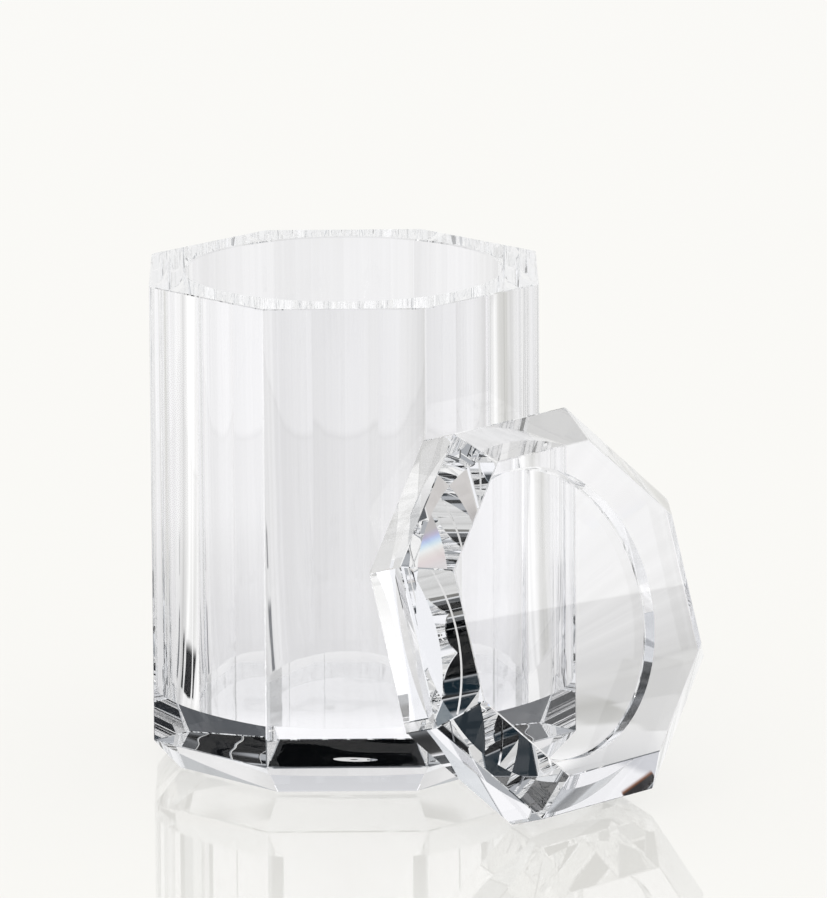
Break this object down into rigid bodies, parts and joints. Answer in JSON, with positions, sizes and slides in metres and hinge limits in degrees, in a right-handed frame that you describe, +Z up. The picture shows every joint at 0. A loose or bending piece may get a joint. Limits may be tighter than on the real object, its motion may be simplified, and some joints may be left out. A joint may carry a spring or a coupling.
{
  "type": "lidded jar",
  "caption": "Clear cut-crystal octagonal jar with a round bore for cotton pads, and its loose faceted lid leaning against it.",
  "frame": {"origin": "centre of the underside of the jar's base, on the surface that the jar stands on", "axes": "+Z up along the bore; -Y out of one flat facet of the jar, the front; the lid leans on the next facet round, towards +X and -Y"},
  "size_m": [0.1207, 0.127, 0.109],
  "materials": {
    "crystal": "clear crystal, ground flat and polished on every face"
  },
  "bodies": {
    "jar": {"jar_barrel": "crystal", "jar_base": "crystal"},
    "lid": {"lid_crown": "crystal", "lid_plug": "crystal"}
  },
  "joints": [
    {"name": "lid_lift", "type": "slide", "parent": "jar", "child": "lid", "axis": [0, 0, 1], "range_m": [0, 0.15]}
  ]
}
